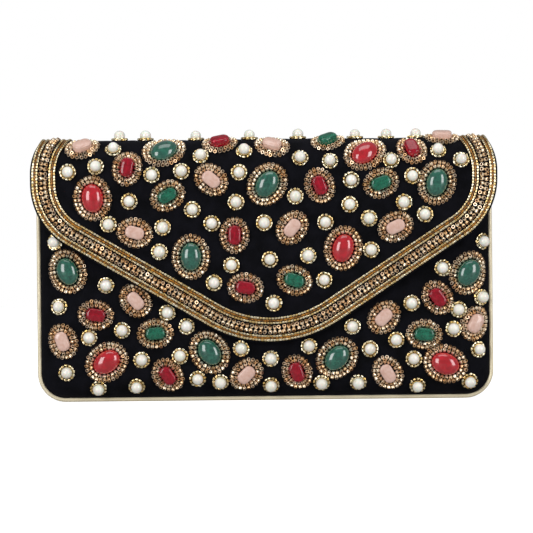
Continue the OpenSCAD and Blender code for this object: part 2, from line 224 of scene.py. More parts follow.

# %% [markdown]
# ## Metallic trims
# The piping is a cord wrapped in coated champagne-gold cloth: pale, a little metallic and soft in
# its gloss. The snap is polished brass. The seed beads are coated glass: gold ones in the rows and
# round the pearls, and copper-lined topaz ones in the rings and the ladder. Each bead carries a
# tint of its own and a darker bore, as two attributes on its corners, so that no two look the same.
# The darker bore is painted shade in the hole. On the topaz beads it is also their copper lining.

# %% Piping, snap and seed beads
piping_cloth, tree, shader, place = finish_of("coated_piping_cloth", "#EFE5CC", metallic=0.25,
                                              roughness=0.36)
threads = woven(tree, shader, place, 1.2 * MM, 2.0, 0.4, 0.06 * MM)
mottle(tree, shader, threads, "#CDBD98", "#F0E6CC", 0.1, 0.9)

brass, tree, shader, place = finish_of("polished_brass", "#D2B06A", metallic=1.0, roughness=0.2)
scratches = grain(tree, shader, place, 0.4 * MM, 0.01 * MM)
mottle(tree, shader, scratches, "#C39F58", "#DDBF80")

amber, tree, shader, place = finish_of("amber_silk_thread", "#B5651A", roughness=0.35)
# The orange flecks of this cloudy colour are painted glints: painted highlights on a dark brown
# cord.
cloudy(tree, shader, place, 1.1 * MM, "#4A2C08", "#D08A28", 0.42, 0.66)
grain(tree, shader, place, 0.35 * MM, 0.1 * MM)


def seed_glass(name, dark, light, bore, metallic, roughness):
    """Coated seed beads: a tint for each bead, and a bore colour: any lining, darkened by painted
    shade.
    """
    material, tree, shader, place = finish_of(name, light, metallic=metallic, roughness=roughness)
    tint = add(tree, "ShaderNodeAttribute", {"attribute_name": "tint"}).outputs["Fac"]
    bore_lining_and_shade_mask = add(tree, "ShaderNodeAttribute", {"attribute_name": "bore"}).outputs["Fac"]
    coat = mottle(tree, shader, tint, dark, light, 0.0, 1.0)
    # The bore's corners take the bore colour: painted shade in the hole, over any lining's colour.
    mixed = add(tree, "ShaderNodeMix", {"data_type": "RGBA"}, {0: bore_lining_and_shade_mask, 6: coat})
    mixed.inputs[7].default_value = linear(bore)
    tree.links.new(mixed.outputs[2], shader.inputs["Base Color"])
    return material


# Bore colours are painted shade in the hole: dark brown in the gold beads, and a darkened copper
# lining in the topaz ones.
gold_glass = seed_glass("gold_coated_seed_glass", "#E0BE78", "#FFF6D8", "#6A4412", 1.0, 0.25)
topaz_glass = seed_glass("copper_lined_topaz_glass", "#E4BC8C", "#FFF3DC", "#96602E", 0.75, 0.22)
print("trims", [m.name for m in (piping_cloth, brass, amber, gold_glass, topaz_glass)])

# %% [markdown]
# ## Stones and pearls
# The large cabochons are opaque cast resin, polished, with a clear skin over the colour. The green
# ones are mottled like malachite. The drilled beads are clearer and show the bright lined bore
# along their length, and the pink ones are cloudy. The pearls have a nacre coat.

# %% Resins and nacre
red_resin, tree, shader, place = finish_of("red_cast_resin", "#B00720", roughness=0.15,
                                           coat_weight=1.0, coat_roughness=0.03)
cloudy(tree, shader, place, 3 * MM, "#9C0012", "#B8021C")

green_resin, tree, shader, place = finish_of("green_mottled_resin", "#1A5C4A", roughness=0.15,
                                             coat_weight=1.0, coat_roughness=0.03)
cloudy(tree, shader, place, 2.5 * MM, "#0C4034", "#1D6350", 0.3, 0.7, detail=5.0, waver=1.2)


def clear_resin(name, dark, light, clear):
    """Polished resin that lets part of the light through."""
    material, tree, shader, place = finish_of(name, light, roughness=0.06, ior=1.5,
                                              transmission_weight=clear)
    cloudy(tree, shader, place, 2 * MM, dark, light, 0.3, 0.7, detail=3.0, waver=0.6)
    return material


red_clear = clear_resin("red_clear_resin", "#98031C", "#C80C30", 0.5)
green_clear = clear_resin("green_clear_resin", "#0F5A42", "#2C8A6C", 0.45)
pink_cloudy = clear_resin("pink_cloudy_resin", "#D2A898", "#DEBDAF", 0.08)
bore_lining, tree, shader, place = finish_of("silvered_bore", "#F4EDE4", metallic=0.6,
                                             roughness=0.3)
grain(tree, shader, place, 0.5 * MM, 0.02 * MM)

nacre, tree, shader, place = finish_of(
    "nacre_coated_pearl", "#F7F2E2", roughness=0.22, coat_weight=0.5, coat_roughness=0.08,
    subsurface_weight=0.15, subsurface_scale=1.5 * MM)
cloudy(tree, shader, place, 4 * MM, "#E4E0D2", "#F1EFE6")
print("stones", [m.name for m in (red_resin, green_resin, red_clear, green_clear, pink_cloudy,
                                  nacre)])

# %% [markdown]
# ## Where everything is sewn on
# Each stone, pearl and ring of the model is one loose shell in its node. The corners are
# welded, the shells are told apart by spreading the lowest corner number along the faces, and the
# directions of a ring come from how its corners spread: least along its normal, most along its
# long side.

# %% Find the separate shells
def shells(node):
    """The welded corners of each separate shell of a CAD node."""
    mesh = frame["nodes"][node].data
    corners = np.empty(len(mesh.vertices) * 3)
    mesh.vertices.foreach_get("co", corners)
    corners = corners.reshape(-1, 3)
    faces = np.array([tuple(p.vertices) for p in mesh.polygons])
    welded, same = np.unique(np.round(corners / (2e-3 * MM)), axis=0, return_inverse=True)
    faces, label = same.reshape(-1)[faces], np.arange(len(welded))
    while True:
        lowest = label.copy()
        np.minimum.at(lowest, faces, lowest[faces].min(axis=1)[:, None])
        lowest = lowest[lowest]
        if (lowest == label).all():
            break
        label = lowest
    points = welded * 2e-3 * MM
    return [points[label == n] for n in np.unique(label)]


def spread(points):
    """A shell's middle, its long direction and its outward normal."""
    turns = np.linalg.svd(points - points.mean(0), full_matrices=False)[2]
    normal, along = Vector(turns[2]), Vector(turns[0])
    middle = Vector(points.mean(0))
    core = Vector((middle.x, (fold_front_y + fold_back_y) / 2, min(middle.z, fold_z)))
    return middle, along, normal if normal.dot(middle - core) > 0 else -normal


rings, pearls = {}, {}
for part in ("body", "flap"):
    for kind in ("cabochon", "bead"):
        rings[part, kind] = [spread(s) for s in shells(f"{part}_{kind}_rings")]
    pearls[part] = [spread(s) for s in shells(f"{part}_pearl_rings")]
    print(part, {k[1]: len(v) for k, v in rings.items() if k[0] == part}, "pearls",
          len(pearls[part]))

# %% [markdown]
# ## Soft surfaces
# A panel of the box is flat in the middle and rounds off to its seam. A grid covers it: the outer
# columns and rows bend round the edge, and a square of them is bent into each round corner. The
# cloth isn't perfectly flat, so a slow noise lifts it, and the stitches of each stone pull it down.

# %% Cloth helpers
def select_only(piece):
    """Makes one object the selected and active one."""
    bpy.ops.object.select_all(action="DESELECT")
    piece.select_set(True)
    bpy.context.view_layer.objects.active = piece


def new_piece(name, corners, faces, *materials):
    """A mesh object with its materials, selected alone."""
    mesh = bpy.data.meshes.new(name)
    mesh.from_pydata([tuple(c) for c in corners], [], faces)
    for material in materials:
        mesh.materials.append(material)
    piece = bpy.data.objects.new(name, mesh)
    bpy.context.scene.collection.objects.link(piece)
    select_only(piece)
    return piece


def cloth(name, corners, faces, thickness, material, outward):
    """A sheet of faces given a thickness on its inside; `outward` is a point it faces."""
    piece = new_piece(name, corners, faces, material)
    middle = piece.data.polygons[len(faces) // 2]
    if middle.normal.dot(Vector(outward) - middle.center) < 0:
        piece.data.flip_normals()
    solid = piece.modifiers.new("thickness", "SOLIDIFY")
    solid.thickness, solid.offset = thickness, -1
    bpy.ops.object.modifier_apply(modifier=solid.name)
    bpy.ops.object.shade_smooth()
    print(name, len(piece.data.polygons), "faces")
    return piece


def grid_faces(rows, columns):
    """Quads between neighbouring rows of corners."""
    return [(r * columns + c, r * columns + c + 1, (r + 1) * columns + c + 1, (r + 1) * columns + c)
            for r in range(rows - 1) for c in range(columns - 1)]


def pointed_faces(rows, columns):
    """The same, but the last row is a single corner."""
    last = (rows - 1) * columns
    fan = [(last - columns + c, last - columns + c + 1, last) for c in range(columns - 1)]
    return grid_faces(rows - 1, columns) + fan


def relief(points, normals, hollows, amount=0.3 * MM, pull=0.5 * MM):
    """Lifts a cloth by a slow noise and pulls it down round each stone (place, reach)."""
    lift = np.array([noise.noise(Vector(p) * 32) for p in points]) * amount
    for place, reach in hollows:
        gap = np.linalg.norm(points - np.array(place), axis=1)
        lift -= pull * np.exp(-(gap / reach) ** 4)
    return points + normals * lift[:, None]


def plain_cloth(name, sheet, amount, thickness, material, outward):
    """A cloth with a slow relief and no lip, from a sheet's corners, normals, rows and columns."""
    points, normals, rows, columns = sheet
    return cloth(name, relief(points, normals, [], amount), grid_faces(rows, columns), thickness,
                 material, outward)


def turned_edge(points, normals, half, turn, middle, steps=5):
    """Rows that carry a cloth's edge round the board and back along its inside."""
    ahead = np.gradient(points, axis=0)
    out = np.cross(ahead, normals)
    out /= np.linalg.norm(out, axis=1)[:, None] + 1e-12
    if ((points - np.array(middle)) * out).sum() < 0:
        out = -out
    rows = []
    for k in range(1, steps + 1):
        a = math.pi * k / steps
        rows.append(points + normals * half * (math.cos(a) - 1) + out * half * math.sin(a))
    rows.append(points - normals * 2 * half - out * turn)
    return rows


STITCH_REACH = {"cabochon": 10 * MM, "bead": 8.5 * MM, "pearl": 4.5 * MM}


def hollows_of(part):
    """Where stones and pearls pull the cloth down, and how far each pull reaches."""
    found = [(r[0], STITCH_REACH[kind]) for kind in ("cabochon", "bead") for r in rings[part, kind]]
    return found + [(p[0], STITCH_REACH["pearl"]) for p in pearls[part]]


print("stitches pull at", len(hollows_of("flap")), "places on the flap")

# %% A swelling panel as a grid
def panel_sheet(face, seam, low, top, depth=0.0, columns=56, rows=34, bands=7):
    """Corners and normals of a panel's face, `depth` inside it, in rows from the base up."""
    swell, side = abs(face - seam), -1 if face < seam else 1
    edge_r = (corner_r ** 2 + swell ** 2) / (2 * swell)
    across = [(-bend_x, -u) for u in np.linspace(1, 0, bands, endpoint=False)]
    across += [(x, 0) for x in np.linspace(-bend_x, bend_x, columns)]
    across += [(bend_x, u) for u in np.linspace(0, 1, bands + 1)[1:]]
    up = [(bend_z, v) for v in np.linspace(low, 0, bands, endpoint=False)]
    up += [(z, 0) for z in np.linspace(bend_z, top, rows)]
    points, normals = [], []
    for z, v in up:
        for x, u in across:
            out = u * math.sqrt(1 - v * v / 2) * corner_r
            down = v * math.sqrt(1 - u * u / 2) * corner_r
            reach = min(math.hypot(out, down), corner_r)
            flat = math.sqrt(edge_r ** 2 - reach ** 2)
            normals.append((out / edge_r, side * flat / edge_r, -down / edge_r))
            points.append((x + out, seam + side * (flat - edge_r + swell), z - down))
    points, normals = np.array(points), np.array(normals)
    return points - normals * depth, normals, len(up), len(across)


print("the front panel's grid is", panel_sheet(front_face, front_seam, 1, mouth_z)[2:])

# %% [markdown]
# ## The velvet of the box
# The front panel's velvet is turned over its board at the mouth and runs 7 mm down the inside. The
# back panel's velvet ends below the hinge, where a separate strip takes over. The gusset is one
# padded strip that runs down one side, under the base and up the other, and bulges a little at
# the sides, between the two rows of piping.

# %% Front and back panels
points, normals, rows, columns = panel_sheet(front_face, front_seam, 1, mouth_z - 1.0 * MM)
points = relief(points, normals, hollows_of("body"))
mouth = slice((rows - 1) * columns, rows * columns)
lip = turned_edge(points[mouth], normals[mouth], PANEL_T / 2, 7 * MM, (0, front_face, 0))
corners = np.vstack([points, *lip])
front_cover = cloth("front_panel_velvet", corners, grid_faces(rows + len(lip), columns),
                    0.8 * MM, velvet, (0, -1, 0.1))
body_bed = BVHTree.FromPolygons([tuple(p) for p in points], grid_faces(rows, columns))

back_cover = plain_cloth("back_panel_velvet",
                         panel_sheet(back_face, back_seam, 1, hinge.z - 4 * MM),
                         0.3 * MM, 0.9 * MM, velvet, (0, 1, 0.1))

# %% Gusset strip
def gusset_line(grow, top, steps=40):
    """The box's outline from the left mouth round the base to the right, with its normals."""
    line = [((-seam_x - grow, z), (-1, 0)) for z in np.linspace(top, bend_z, steps)[:-1]]
    for side in (-1, 1):
        turn = [math.radians(a) for a in np.linspace(0, 90, 13)]
        bend = [((side * (bend_x + (corner_r + grow) * math.cos(a)),
                  bend_z - (corner_r + grow) * math.sin(a)), (side * math.cos(a), -math.sin(a)))
                for a in turn]
        line += bend if side < 0 else bend[::-1]
        if side < 0:
            line += [((x, seam_z - grow), (0, -1))
                     for x in np.linspace(-bend_x, bend_x, 50)[1:-1]]
    line += [((seam_x + grow, z), (1, 0)) for z in np.linspace(bend_z, top, steps)[1:]]
    return line


def gusset_sheet(grow, half, top, bulge, dip, columns=15):
    """A strip along the outline; it bulges in the middle of the sides and dips at its edges."""
    points, normals = [], []
    for (x, z), (nx, nz) in gusset_line(grow, top):
        for c in np.linspace(-1, 1, columns):
            lift = bulge * (1 - c * c) * min(1, abs(nx)) - dip * c ** 8
            points.append((x + nx * lift, c * half, z + nz * lift))
            normals.append((nx, 0, nz))
    return np.array(points), np.array(normals), len(points) // columns, columns


base_drop = seam_z
points, normals, rows, columns = gusset_sheet(base_drop, gusset_half, gusset_top - 2 * MM,
                                              0.7 * MM, 0.9 * MM)
first, last = slice(0, columns), slice((rows - 1) * columns, rows * columns)
half = (base_drop + 2.3 * MM) / 2
lips = [turned_edge(points[end], normals[end], half, 8 * MM, (0, 0, 0)) for end in (first, last)]
corners = np.vstack([*lips[0][::-1], points, *lips[1]])
gusset_cover = cloth("gusset_velvet", corners, grid_faces(rows + 2 * len(lips[0]), columns),
                     0.9 * MM, velvet, (0, 0, -1))

# %% [markdown]
# ## The flap's outline
# Seen from the front, the flap's edge is a round point, two straight slants, and a shoulder and a
# crown arc on each side. Going over the fold, the same outline is followed at each height.

# %% Outline and fold
def arc(centre, radius, start, end, steps=28):
    """Points along an arc in the front view."""
    return [(centre[0] + radius * math.cos(a), centre[1] + radius * math.sin(a))
            for a in np.linspace(start, end, steps)]


def edge_curve(side, inset):
    """One side of the outline from the point up, `inset` inside the edge, as x and z."""
    shoulder = (flap_half - SHOULDER_R, fold_z - FULLER - (SHOULDER_DROP if side < 0 else 0))
    point = (side * TIP_X, tip_z + TIP_R)
    dx, dz = shoulder[0] - point[0], shoulder[1] - point[1]
    slant = math.atan2(dz, dx) - math.acos((TIP_R - SHOULDER_R) / math.hypot(dx, dz))
    curve = arc(point, TIP_R - inset, -math.pi / 2, slant)
    curve += arc(shoulder, SHOULDER_R - inset, slant, 0)
    curve += arc((flap_half - CROWN_R, fold_z + 1e-6), CROWN_R - inset, 0, CROWN_TURN)
    return np.array([(side * x, z) for x, z in curve])


def fold_point(run):
    """Depth, height and normal at a distance along the flap from the hinge line."""
    if run < bend_run:
        a = run / fold_r
        return (fold_back_y + fold_r * math.cos(a), fold_z + fold_r * math.sin(a),
                math.cos(a), math.sin(a))
    run -= bend_run
    if run < top_run:
        return fold_back_y - run, fold_z + fold_r, 0, 1
    run -= top_run
    if run < bend_run:
        a = math.pi / 2 + run / fold_r
        return (fold_front_y + fold_r * math.cos(a), fold_z + fold_r * math.sin(a),
                math.cos(a), math.sin(a))
    return fold_front_y - fold_r, fold_z - (run - bend_run), -1, 0


def flap_sheet(inset, runs, columns=97, depth=0.0):
    """Corners and normals of the flap's face in rows from the hinge line to the point."""
    left, right = edge_curve(-1, inset), edge_curve(1, inset)
    points, normals = [], []
    for run in runs:
        y, z, ny, nz = fold_point(run)
        x0 = np.interp(z, left[:, 1], left[:, 0])
        x1 = np.interp(z, right[:, 1], right[:, 0])
        for a in np.linspace(0, 1, columns):
            points.append((x0 + (x1 - x0) * a, y - ny * depth, z - nz * depth))
            normals.append((0, ny, nz))
    return np.array(points), np.array(normals), len(runs), columns


FLAP_START = 6 * MM
front_run = 2 * bend_run + top_run


def flap_runs(inset, start=FLAP_START, steps=64):
    """Distances of the rows: even over the fold, and closer together towards the point."""
    drop = fold_z - tip_z - inset
    upper = list(np.linspace(start, front_run, 44))
    return upper + [front_run + drop * math.sin(a) for a in np.linspace(0, math.pi / 2, steps)[1:]]


print("flap rows", len(flap_runs(0)), "run", round(flap_runs(0)[-1] / MM, 1), "mm")

# %% [markdown]
# ## The flap's velvet
# The velvet is laid over the board and turned round its edge. The grid stops 1.3 mm inside the
# outline, and half a turn of that radius carries it round the edge to the lining side.

# %% Flap cover
points, normals, rows, columns = flap_sheet(FLAP_T / 2, flap_runs(FLAP_T / 2))
points = relief(points, normals, hollows_of("flap"))
flap_bed = BVHTree.FromPolygons([tuple(p) for p in points], grid_faces(rows, columns))
last = (rows - 1) * columns
points, normals = points[:last + 1], normals[:last + 1]
faces = pointed_faces(rows, columns)
left_side = [r * columns for r in range(rows - 1)]
right_side = [r * columns + columns - 1 for r in range(rows - 1)]
loop = left_side + [last] + right_side[::-1]
lip = turned_edge(points[loop], normals[loop], FLAP_T / 2, 6 * MM, (0, flap_low.y, 100 * MM))
corners = [points]
previous = loop
for k, row in enumerate(lip):
    start = len(points) + k * len(loop)
    current = list(range(start, start + len(loop)))
    faces += [(previous[i], previous[i + 1], current[i + 1], current[i])
              for i in range(len(loop) - 1)]
    corners.append(row)
    previous = current
flap_cover = cloth("flap_velvet_cover", np.vstack(corners), faces, 0.6 * MM, velvet, (0, -1, 0.1))

# %% [markdown]
# ## The crease
# The back panel and the flap are one cloth on the real purse, and it bends at the hinge line. So a
# strip of velvet outside and a strip of lining inside cross the hinge: their lower rows follow the
# box, their upper rows follow the flap, and the rows between turn smoothly.

# %% Crease strips
def crease_sheet(low, high, panel_depth, flap_depth, inset, rows=26):
    """A strip whose shape goes from the back panel's section to the flap's."""
    turn_z = hinge.z - 4.5 * MM
    panel, panel_n, panel_rows, columns = panel_sheet(back_face, back_seam, 1, turn_z, panel_depth)
    bottom = panel[(panel_rows - 1) * columns:]
    bottom_n = panel_n[(panel_rows - 1) * columns:]
    left, right = edge_curve(-1, inset), edge_curve(1, inset)
    share = (bottom[:, 0] - bottom[0, 0]) / (bottom[-1, 0] - bottom[0, 0])
    points, normals = [], []
    for k in range(rows):
        z = low + (high - low) * k / (rows - 1)
        w = min(1, max(0, (z - turn_z) / (10.5 * MM)))
        w = w * w * (3 - 2 * w)
        rise = max(0, z - fold_z)
        cos_a = math.sqrt(fold_r ** 2 - rise ** 2) / fold_r
        deep = flap_depth * w
        y_flap = fold_back_y + (fold_r - flap_depth) * cos_a
        y_box = back_face - (fold_r - fold_r * cos_a)
        x0 = np.interp(z, left[:, 1], left[:, 0])
        x1 = np.interp(z, right[:, 1], right[:, 0])
        for c in range(columns):
            x = bottom[c, 0] * (1 - w) + (x0 + (x1 - x0) * share[c]) * w
            y = (y_box + bottom[c, 1] - back_face) * (1 - w) + y_flap * w
            points.append((x, y, z))
            normals.append(bottom_n[c])
    return points, grid_faces(rows, columns)


crease_points, crease_faces = crease_sheet(hinge.z - 6 * MM, fold_z + 7.5 * MM,
                                           0.15 * MM, 0.15 * MM, FLAP_T / 2)
crease_velvet = cloth("crease_velvet", crease_points, crease_faces, 0.7 * MM, velvet, (0, 1, 0.13))
crease_points, crease_faces = crease_sheet(hinge.z - 7.5 * MM, fold_z + 9 * MM,
                                           PANEL_T + 0.9 * MM, FLAP_T + 0.5 * MM, 5 * MM)
crease_lining = cloth("crease_lining", crease_points, crease_faces, SATIN_T, satin, (0, -1, 0.13))

# %% [markdown]
# ## The lining
# A pouch of black satin lines the box: two panels and a gusset strip that creases a little. A slip
# pocket is sewn to the back on three sides, and its hemmed top stands away from the lining.
# Another satin panel covers the inside of the flap. They are thin sheets with a slight ripple.

# %% Pouch lining
front_pouch = plain_cloth("front_pouch_lining",
                          panel_sheet(front_face, front_seam, 0.8, mouth_z - 5 * MM,
                                      PANEL_T - 0.1 * MM),
                          0.25 * MM, SATIN_T, satin, (0, -1, 0.1))
back_pouch = plain_cloth("back_pouch_lining",
                         panel_sheet(back_face, back_seam, 0.8, hinge.z - 5.5 * MM,
                                     PANEL_T - 0.1 * MM),
                         0.25 * MM, SATIN_T, satin, (0, 1, 0.1))
gusset_pouch = plain_cloth("gusset_pouch_lining",
                           gusset_sheet(-1.9 * MM, gusset_half + 0.9 * MM, gusset_top - 5 * MM,
                                        -2.2 * MM, 0),
                           0.5 * MM, SATIN_T, satin, (0, 0, -1))

# %% Flap lining
lining_inset, lining_depth = 3.4 * MM, FLAP_T - 0.3 * MM
points, normals, rows, columns = flap_sheet(lining_inset, flap_runs(lining_inset, 5 * MM),
                                            depth=lining_depth)
points = relief(points, normals, [], 0.12 * MM)[:(rows - 1) * columns + 1]
flap_inside = cloth("flap_lining_panel", points, pointed_faces(rows, columns), 0.42 * MM, satin,
                    (0, -1, 0.1))

# %% Slip pocket
pocket_low, pocket_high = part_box("slip_pocket")
POCKET_COLUMNS, POCKET_ROWS = 41, 30


def pocket_sheet():
    """The pocket's cloth: sewn down at three sides, with a belly and an open top."""
    points = []
    back = back_face - PANEL_T - 0.45 * MM
    for r in range(POCKET_ROWS):
        v = r / (POCKET_ROWS - 1)
        for c in range(POCKET_COLUMNS):
            u = c / (POCKET_COLUMNS - 1)
            belly = (1 - (2 * u - 1) ** 4) * (0.3 + 2.2 * v) * min(1, 6 * v)
            ripple = 0.35 * math.sin(7 * math.pi * u) * v * (1 - (2 * u - 1) ** 6)
            points.append((pocket_low.x + (pocket_high.x - pocket_low.x) * u,
                           back - (0.25 + belly + ripple) * MM,
                           pocket_low.z + (pocket_high.z - pocket_low.z) * v))
    return points


slip_pocket = cloth("slip_pocket_cloth", pocket_sheet(), grid_faces(POCKET_ROWS, POCKET_COLUMNS),
                    SATIN_T, satin, (0, -1, 0.07))

# %% [markdown]
# ## Modelling what repeats
# A seed bead, a cabochon, a drilled bead and a pearl are each modelled once with Blender's own
# tools, and then copied to all their places. Some kinds repeat hundreds of times, so a seed bead
# has only 60 faces. A copy gets a tint between 0 and 1 of its own.

# %% Take a model and copy it
def edit_all():
    """Opens the active object in edit mode, with all of it selected."""
    bpy.ops.object.mode_set(mode="EDIT")
    bpy.ops.mesh.select_all(action="SELECT")


def edit_only(mesh, kind, chosen):
    """Opens the active object in edit mode with only some corners, edges or faces selected."""
    for part in (*mesh.vertices, *mesh.edges, *mesh.polygons):
        part.select = False
    for part in chosen:
        part.select = True
    bpy.context.tool_settings.mesh_select_mode = [kind == k for k in ("VERT", "EDGE", "FACE")]
    bpy.ops.object.mode_set(mode="EDIT")


def take(piece, bore_radius=0.0):
    """Keeps a finished model as corners, faces, slots and a bore mark for painted shade, and
    removes it.
    """
    corners = np.array([tuple(v.co) for v in piece.data.vertices])
    faces = [tuple(p.vertices) for p in piece.data.polygons]
    slots = [p.material_index for p in piece.data.polygons]
    axis_gap = np.hypot(corners[:, 0], corners[:, 1])
    # Corners inside the bore are marked: the seed beads paint shade there.
    bore = (axis_gap < bore_radius).astype(float)
    bpy.data.objects.remove(piece)
    return corners, faces, slots, bore


def place_at(where, along, up, scale=1.0):
    """A matrix that puts a model at a place, its x along one direction and its z up another."""
    up = up.normalized()
    side = up.cross(along).normalized()
    turn = Matrix((side.cross(up), side, up)).transposed()
    return Matrix.Translation(where) @ (turn * scale).to_4x4()


def copies(name, models, materials, smooth=60):
    """One object with all copies; `models` is a list of (model, matrices)."""
    chance = random.Random(name)
    corners, faces, slots, bores, tints = [], [], [], [], []
    total = 0
    for model, matrices in models:
        own, own_faces, own_slots, bore = model
        for matrix in matrices:
            m = np.array(matrix)
            corners.append(own @ m[:3, :3].T + m[:3, 3])
            faces += [tuple(i + total for i in f) for f in own_faces]
            slots += own_slots
            bores.append(bore)
            tints.append(np.full(len(own), chance.random()))
            total += len(own)
    piece = new_piece(name, np.vstack(corners).tolist(), faces, *materials)
    piece.data.polygons.foreach_set("material_index", slots)
    # The bore mark goes on as the 'bore' attribute, where painted shade darkens the seed beads'
    # holes.
    for label, values in (("tint", tints), ("bore", bores)):
        piece.data.attributes.new(label, "FLOAT", "POINT").data.foreach_set(
            "value", np.concatenate(values).astype(np.float32))
    bpy.ops.object.shade_smooth_by_angle(angle=math.radians(smooth))
    print(name, sum(len(m) for _, m in models), "copies,", len(faces), "faces")
    return piece


# %% [markdown]
# ## Seed beads
# A seed bead is a short glass barrel with a wide bore. It is a coarse torus, stretched along its
# axis. Gold beads of the rows are strung end to end, so they are longer than they are wide. The
# topaz ones round the stones point outwards and tilt up, which is why their bores show.

# %% Seed bead models
def seed_bead(width, bore, length):
    """A barrel with a bore, standing on z."""
    bpy.ops.object.select_all(action="DESELECT")
    bpy.ops.mesh.primitive_torus_add(major_segments=10, minor_segments=6,
                                     major_radius=(width + bore) / 4,
                                     minor_radius=(width - bore) / 4)
    bead = bpy.context.object
    edit_all()
    bpy.ops.transform.resize(value=(1, 1, 2 * length / (width - bore)))
    bpy.ops.object.mode_set(mode="OBJECT")
    return take(bead, bore * 0.75)


row_bead = seed_bead(1.45 * MM, 0.5 * MM, 1.62 * MM)
pearl_bead = seed_bead(1.5 * MM, 0.5 * MM, 1.75 * MM)
topaz_bead = seed_bead(2.25 * MM, 0.8 * MM, 2.0 * MM)
ladder_bead = seed_bead(2.45 * MM, 0.85 * MM, 1.9 * MM)
print("a seed bead has", len(row_bead[1]), "faces")

# %% Rows along the flap's edge
def border_path(inset, start=FLAP_START - 1 * MM):
    """The path of a row, from the back over the fold, round the point and back, with normals."""
    halves = []
    for side in (-1, 1):
        curve = edge_curve(side, inset)
        curve = curve[curve[:, 1] < fold_z + fold_r * 0.999]
        crown = flap_half - CROWN_R
        half_path = []
        for x, z in curve:
            rise = max(0, z - fold_z)
            back = math.sqrt(fold_r ** 2 - rise ** 2)
            half_path.append(((x, fold_front_y - back, z), (0, -back, rise)))
        for run in np.linspace(bend_run + top_run, start, 24):
            y, z, ny, nz = fold_point(run)
            x = side * (crown + math.sqrt((CROWN_R - inset) ** 2 - (z - fold_z) ** 2))
            half_path.append(((x, y, z), (0, ny, nz)))
        halves.append(half_path)
    return halves[0][::-1] + halves[1][1:]


def along_path(path, pitch):
    """Evenly spaced places on a path, each with its tangent and normal."""
    points = np.array([p for p, _ in path])
    normals = np.array([n for _, n in path])
    steps = np.linalg.norm(np.diff(points, axis=0), axis=1)
    run = np.concatenate([[0], np.cumsum(steps)])
    count = int(run[-1] / pitch)
    wanted = (np.arange(count) + 0.5) * run[-1] / count
    spots = np.stack([np.interp(wanted, run, points[:, i]) for i in range(3)], 1)
    ups = np.stack([np.interp(wanted, run, normals[:, i]) for i in range(3)], 1)
    ahead = np.gradient(spots, axis=0)
    return [(Vector(s), Vector(a).normalized(), Vector(u).normalized())
            for s, a, u in zip(spots, ahead, ups)]


def seated(bed, spot, lift):
    """The place `lift` above the cloth nearest to a spot, and the cloth's normal there."""
    ground, normal, _, _ = bed.find_nearest(spot)
    core = Vector((spot.x, (fold_front_y + fold_back_y) / 2, min(spot.z, fold_z)))
    if normal.dot(spot - core) < 0:
        normal = -normal
    return ground + normal * lift, normal


def bead_row(name, inset, pitch=1.72 * MM):
    """A row of gold beads strung end to end."""
    chance = random.Random(name + "row")
    matrices = []
    for spot, ahead, _ in along_path(border_path(inset), pitch):
        where, up = seated(flap_bed, spot, 0.68 * MM)
        sway = up.cross(ahead) * chance.uniform(-0.1, 0.1) + up * chance.uniform(-0.06, 0.06)
        matrices.append(place_at(where, up, ahead + sway, chance.uniform(0.95, 1.04)))
    return copies(name, [(row_bead, matrices)], [gold_glass])


ROW_INSETS = {"edge": 1.65 * MM, "outer": 3.95 * MM, "inner": 11.35 * MM, "field": 14.05 * MM}
edge_beads, outer_beads, inner_beads, field_beads = (
    bead_row(f"border_{row}_beads", inset) for row, inset in ROW_INSETS.items())

# %% The ladder
def ladder(name, insets=(6.3 * MM, 8.9 * MM), pitch=2.7 * MM):
    """Pairs of topaz beads across the border, bores turned outwards and slightly jumbled."""
    chance = random.Random(name)
    matrices = []
    for spot, ahead, up in along_path(border_path(sum(insets) / 2), pitch):
        across = up.cross(ahead).normalized()
        skew = chance.uniform(-0.25, 0.25) * MM
        for side in (-1, 1):
            place = spot + across * side * (insets[1] - insets[0]) / 2 + ahead * side * skew
            where, normal = seated(flap_bed, place, chance.uniform(0.85, 1.05) * MM)
            tilt = normal + across * side * chance.uniform(0.3, 1.6)
            tilt += ahead * chance.uniform(-0.45, 0.45)
            matrices.append(place_at(where, ahead, tilt, chance.uniform(0.94, 1.04)))
    return copies(name, [(ladder_bead, matrices)], [topaz_glass])


ladder_beads = ladder("border_ladder_beads")

# %% [markdown]
# ## Amber threads
# A doubled silk thread lies between the gold rows of each pair. It is a thin twisted cord: a small
# round section is carried along the row's path, and its radius swells and shrinks with the twist.

# %% Threads
def thread(name, inset, radius, sides=6):
    """A cord laid along a border path."""
    path = along_path(border_path(inset), 0.8 * MM)
    corners, faces = [], []
    for k, (spot, ahead, _) in enumerate(path):
        where, up = seated(flap_bed, spot, radius * 0.9)
        side = up.cross(ahead)
        size = radius * (1 + 0.16 * math.sin(k * 1.9))
        for s in range(sides):
            a = 2 * math.pi * s / sides
            corners.append(where + (side * math.cos(a) + up * math.sin(a)) * size)
    for k in range(len(path) - 1):
        for s in range(sides):
            t = (s + 1) % sides
            faces.append((k * sides + s, k * sides + t, (k + 1) * sides + t, (k + 1) * sides + s))
    end = (len(path) - 1) * sides
    faces += [tuple(range(sides))[::-1], tuple(range(end, end + sides))]
    piece = new_piece(name, corners, faces, amber)
    edit_all()
    bpy.ops.mesh.normals_make_consistent(inside=False)
    bpy.ops.object.mode_set(mode="OBJECT")
    bpy.ops.object.shade_smooth()
    print(name, len(faces), "faces")
    return piece


outer_cord = thread("border_outer_cord", 2.8 * MM, 0.42 * MM)
inner_cord = thread("border_inner_cord", 12.7 * MM, 0.48 * MM)

# %% [markdown]
# ## Rings of seed beads
# Two rows of topaz beads stand round every stone. Places are spaced evenly on an oval a set
# distance outside the stone, and each bead is dropped onto the cloth below it. Its bore points
# away from the stone and up, by a different angle each time.

